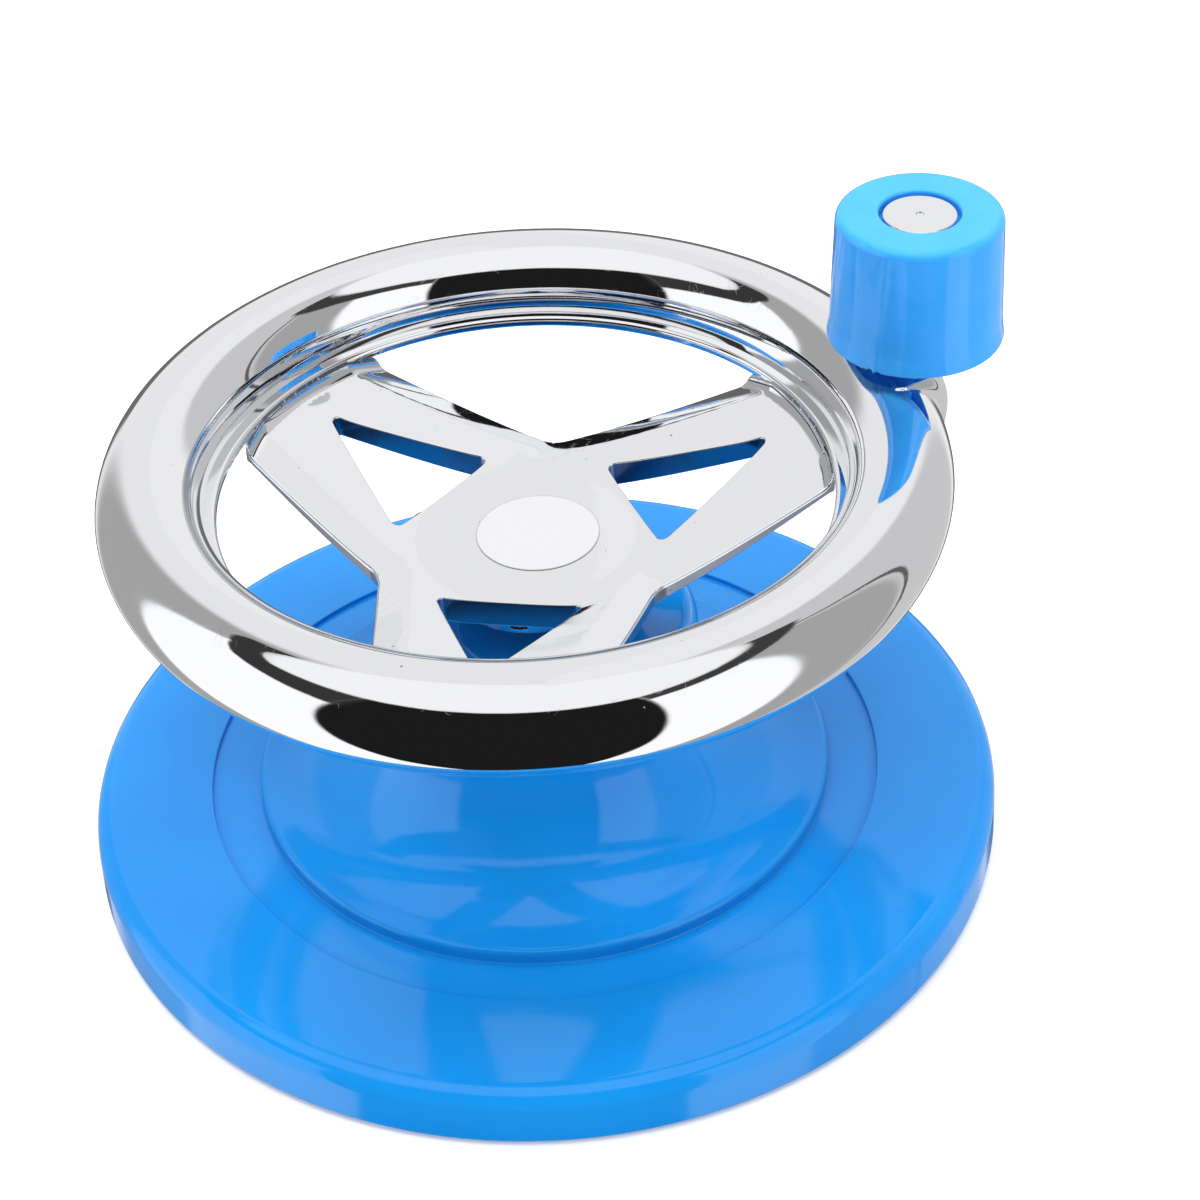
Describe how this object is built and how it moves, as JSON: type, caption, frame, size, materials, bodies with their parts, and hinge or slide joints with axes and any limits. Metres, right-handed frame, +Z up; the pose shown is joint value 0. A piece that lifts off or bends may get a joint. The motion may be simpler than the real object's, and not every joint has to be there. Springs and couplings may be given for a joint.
{
  "type": "hand-cranked air pump",
  "caption": "Chromed crank wheel with spinner knob on a bell-shaped blue stand; turning it drives a geared two-lobe blower that feeds an inflation outlet at the back.",
  "frame": {"origin": "on the ground, where the main shaft's axis meets it, on the lower face of the middle foot", "axes": "+Z up along the main shaft, +X through the crank knob, +Y towards the air outlet at the back"},
  "size_m": [0.3056, 0.299, 0.1966],
  "materials": {
    "blue_plastic": "glossy moulded plastic",
    "chrome": "mirror chrome plating with small pits",
    "label": "plain satin sticker film",
    "steel": "turned steel",
    "zinc": "zinc-plated screws",
    "bronze": "sintered bronze",
    "brass": "turned brass",
    "rubber": "black rubber",
    "nylon": "natural nylon",
    "alloy": "machined die casting",
    "black_plastic": "black moulded plastic"
  },
  "bodies": {
    "stand": {"pedestal_shell": "blue_plastic", "base_plate": "black_plastic", "top_bush": "bronze", "low_bush": "bronze", "thrust_disc": "nylon", "plate_screw_1": "zinc", "plate_screw_2": "zinc", "plate_screw_3": "zinc", "plate_screw_4": "zinc", "plate_screw_5": "zinc", "plate_screw_6": "zinc", "foot_1": "rubber", "foot_2": "rubber", "foot_3": "rubber", "foot_4": "rubber", "foot_5": "rubber", "pump_case": "alloy", "pump_cover": "alloy", "case_gasket": "rubber", "inlet_screen": "black_plastic", "outlet_tube": "rubber", "outlet_socket": "brass", "cover_screw_1": "zinc", "cover_screw_2": "zinc", "cover_screw_3": "zinc", "cover_screw_4": "zinc", "cover_screw_5": "zinc", "cover_screw_6": "zinc"},
    "wheel": {"wheel_rim": "chrome", "wheel_web": "chrome", "hub_label": "label", "hub_screw": "steel", "main_shaft": "steel", "shaft_collar": "steel", "shaft_clip": "steel", "bull_gear": "nylon", "gear_key": "steel", "knob_pin": "chrome", "knob_washer": "steel"},
    "knob": {"knob": "blue_plastic"},
    "blower_a": {"rotor_a": "alloy", "rotor_shaft_a": "steel", "timing_gear_a": "steel", "drive_pinion": "steel"},
    "blower_b": {"rotor_b": "alloy", "rotor_shaft_b": "steel", "timing_gear_b": "steel"}
  },
  "joints": [
    {"name": "wheel_spin", "type": "hinge", "parent": "stand", "child": "wheel", "pos_m": [0, 0, 0.1], "axis": [0, 0, 1], "continuous": true},
    {"name": "knob_spin", "type": "hinge", "parent": "wheel", "child": "knob", "pos_m": [0.129, 0, 0.175], "axis": [0, 0, 1], "continuous": true},
    {"name": "rotor_a_spin", "type": "hinge", "parent": "stand", "child": "blower_a", "pos_m": [0.015, 0.04243, 0.014], "axis": [0, 0, 1], "continuous": true},
    {"name": "rotor_b_spin", "type": "hinge", "parent": "stand", "child": "blower_b", "pos_m": [-0.015, 0.04243, 0.014], "axis": [0, 0, 1], "continuous": true}
  ],
  "couplings": [
    {"joint": "rotor_a_spin", "follows": "wheel_spin", "ratio": -4},
    {"joint": "rotor_b_spin", "follows": "wheel_spin", "ratio": 4}
  ]
}
